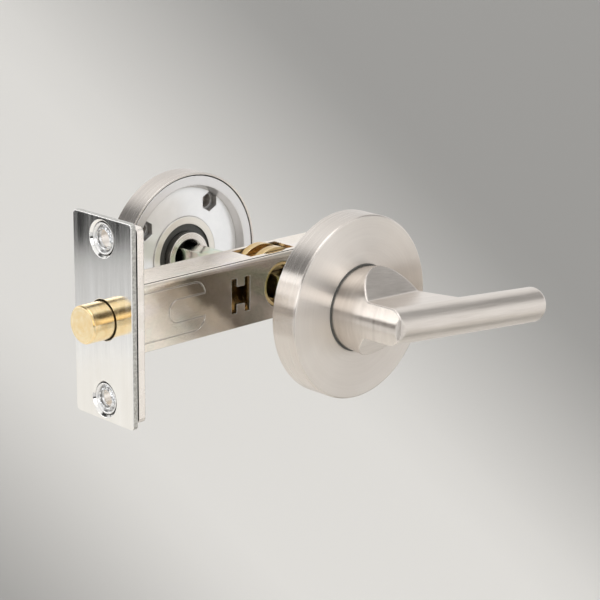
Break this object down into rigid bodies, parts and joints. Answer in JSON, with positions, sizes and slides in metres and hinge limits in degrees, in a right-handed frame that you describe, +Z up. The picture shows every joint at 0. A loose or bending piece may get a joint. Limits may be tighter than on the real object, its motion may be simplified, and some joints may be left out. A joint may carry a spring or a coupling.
{
  "type": "accessible bathroom privacy lock",
  "caption": "Tubular privacy bolt with faceplate, lever turn on a round rose, square spindle, and a round rear rose with a coin-slot emergency release.",
  "frame": {"origin": "centre of the mounting plate's front face, just behind the faceplate, on the bolt's axis", "axes": "+X into the door along the bolt case, +Y to the emergency-release side, -Y to the lever side, +Z up"},
  "size_m": [0.1198, 0.1052, 0.057],
  "materials": {
    "satin_stainless": "satin stainless, brushed lengthwise",
    "nickel_plate": "satin nickel plate, faint cream tint",
    "case_nickel": "nickel-plated rolled sheet, slightly iridescent",
    "guide_steel": "plain machined",
    "spring_steel": "plain bright",
    "bolt_brass": "turned and lightly polished",
    "inner_brass": "machined, lightly oiled",
    "plated_spindle": "zinc plate with pale green and pink passivation",
    "rose_stainless": "satin stainless, warm and fine-brushed",
    "lever_stainless": "satin stainless casting, ground and brushed",
    "release_stainless": "turned stainless, satin",
    "cast_zinc": "bright zinc casting, as plated",
    "dark_polymer": "dark grey, slightly glossy"
  },
  "bodies": {
    "lock_body": {"faceplate": "satin_stainless", "mounting_plate": "nickel_plate", "case_shell": "case_nickel", "bolt_guide": "guide_steel", "detent_spring": "spring_steel", "front_rose_cap": "rose_stainless", "front_rose_base": "cast_zinc", "front_bush": "dark_polymer", "neck_ring": "dark_polymer", "rear_rose_cap": "rose_stainless", "rear_rose_base": "cast_zinc", "rear_bush": "dark_polymer"},
    "turning_parts": {"lever_handle": "lever_stainless", "clip_washer": "spring_steel", "spring_clip": "spring_steel", "spindle": "plated_spindle", "rotor": "inner_brass", "crank_pin": "spring_steel", "release_turn": "release_stainless"},
    "sliding_bolt": {"bolt": "bolt_brass", "bolt_tail": "inner_brass", "tail_pins": "spring_steel"}
  },
  "joints": [
    {"name": "lever_turn", "type": "hinge", "parent": "lock_body", "child": "turning_parts", "pos_m": [0.0578, 0, 0], "axis": [0, -1, 0], "range_deg": [0, 90]},
    {"name": "bolt_slide", "type": "slide", "parent": "lock_body", "child": "sliding_bolt", "axis": [1, 0, 0], "range_m": [0, 0.007]}
  ],
  "couplings": [
    {"joint": "bolt_slide", "follows": "lever_turn", "m_per_rad": 0.004456}
  ]
}
